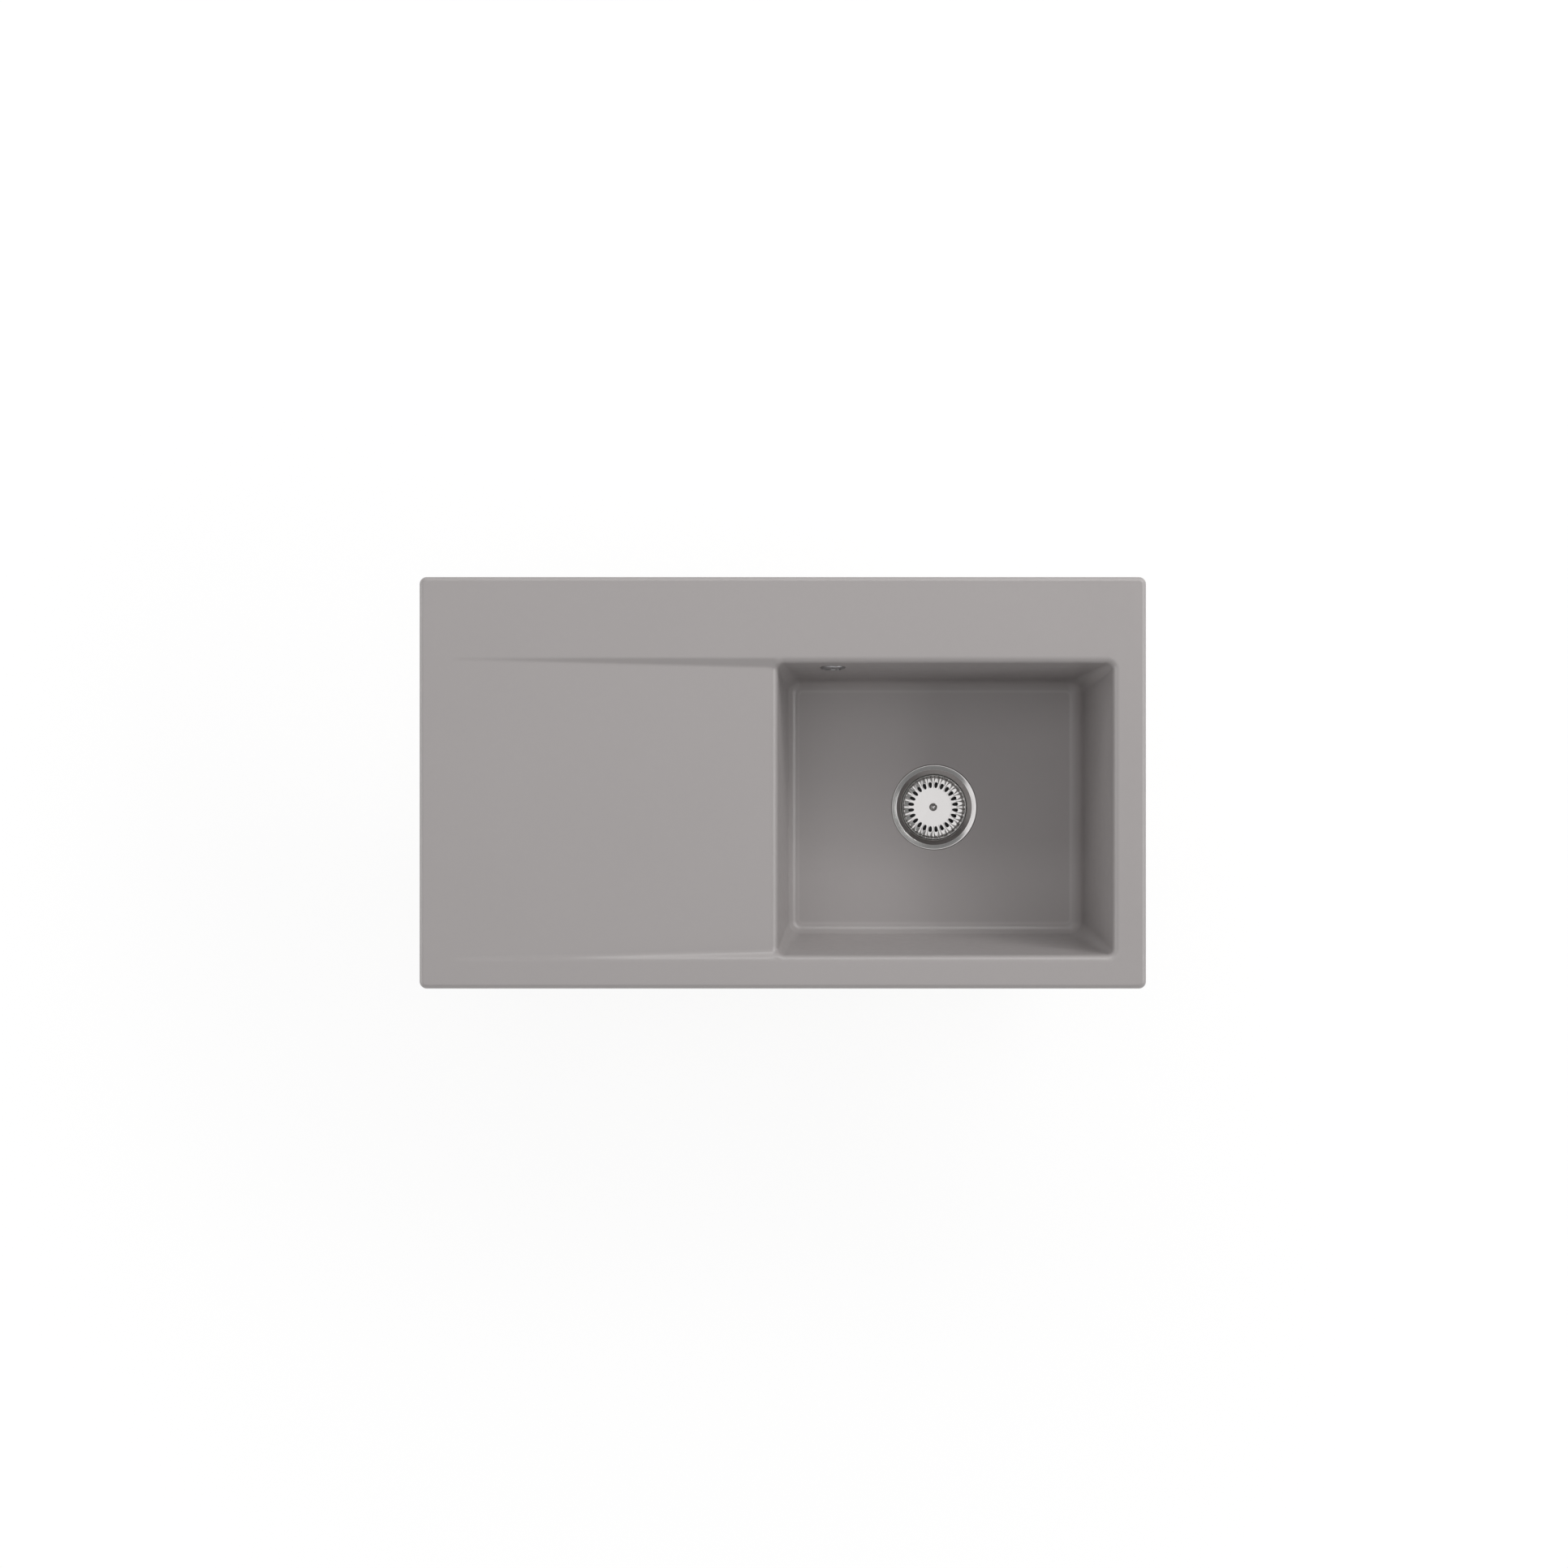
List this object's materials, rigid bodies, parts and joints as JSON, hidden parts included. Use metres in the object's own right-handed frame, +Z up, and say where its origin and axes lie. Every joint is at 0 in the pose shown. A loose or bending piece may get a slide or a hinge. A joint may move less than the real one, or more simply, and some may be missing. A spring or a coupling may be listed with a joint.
{
  "type": "kitchen sink",
  "caption": "Inset glazed ceramic kitchen sink with one bowl, a sloping drainer, a lift-out basket strainer waste and an overflow piped into the waste.",
  "frame": {"origin": "middle of the worktop cut-out, on the worktop's top face under the rim", "axes": "+X to the right along the sink's length, drainer at -X and bowl at +X; +Y to the back, where the tap ledge is; +Z up"},
  "size_m": [0.9, 0.51, 0.304],
  "materials": {
    "glaze": "warm grey satin-gloss glaze on fired clay, bare clay underneath",
    "steel": "polished stainless steel pressing",
    "chrome": "bright chrome plate",
    "rubber": "matt black rubber",
    "white_plastic": "white moulded polypropylene",
    "grey_plastic": "grey moulded polypropylene",
    "black_plastic": "black moulded polypropylene",
    "fibre": "red vulcanised fibre",
    "brass": "turned brass"
  },
  "bodies": {
    "sink": {"sink_body": "glaze", "flange_seal": "rubber", "strainer_flange": "steel", "clamp_washer": "fibre", "clamp_screw": "steel", "clamp_insert": "brass", "waste_seal": "rubber", "waste_body": "white_plastic", "overflow_cover": "chrome", "overflow_cover_seal": "rubber", "overflow_screw": "steel", "overflow_wall_seal": "rubber", "overflow_head": "white_plastic", "overflow_pipe": "white_plastic", "overflow_nut_top": "grey_plastic", "overflow_washer_top": "rubber", "overflow_nut_bottom": "grey_plastic", "overflow_washer_bottom": "rubber"},
    "stopper": {"stopper_carrier": "black_plastic", "stopper_seal": "rubber", "detent_ring": "rubber"},
    "basket": {"basket": "steel", "basket_knob": "steel"}
  },
  "joints": [
    {"name": "basket_lift", "type": "slide", "parent": "sink", "child": "stopper", "axis": [0, 0, 1], "range_m": [0, 0.265]},
    {"name": "basket_turn", "type": "hinge", "parent": "stopper", "child": "basket", "pos_m": [0.2015, -0.0325, -0.216], "axis": [0, 0, 1], "continuous": true}
  ]
}
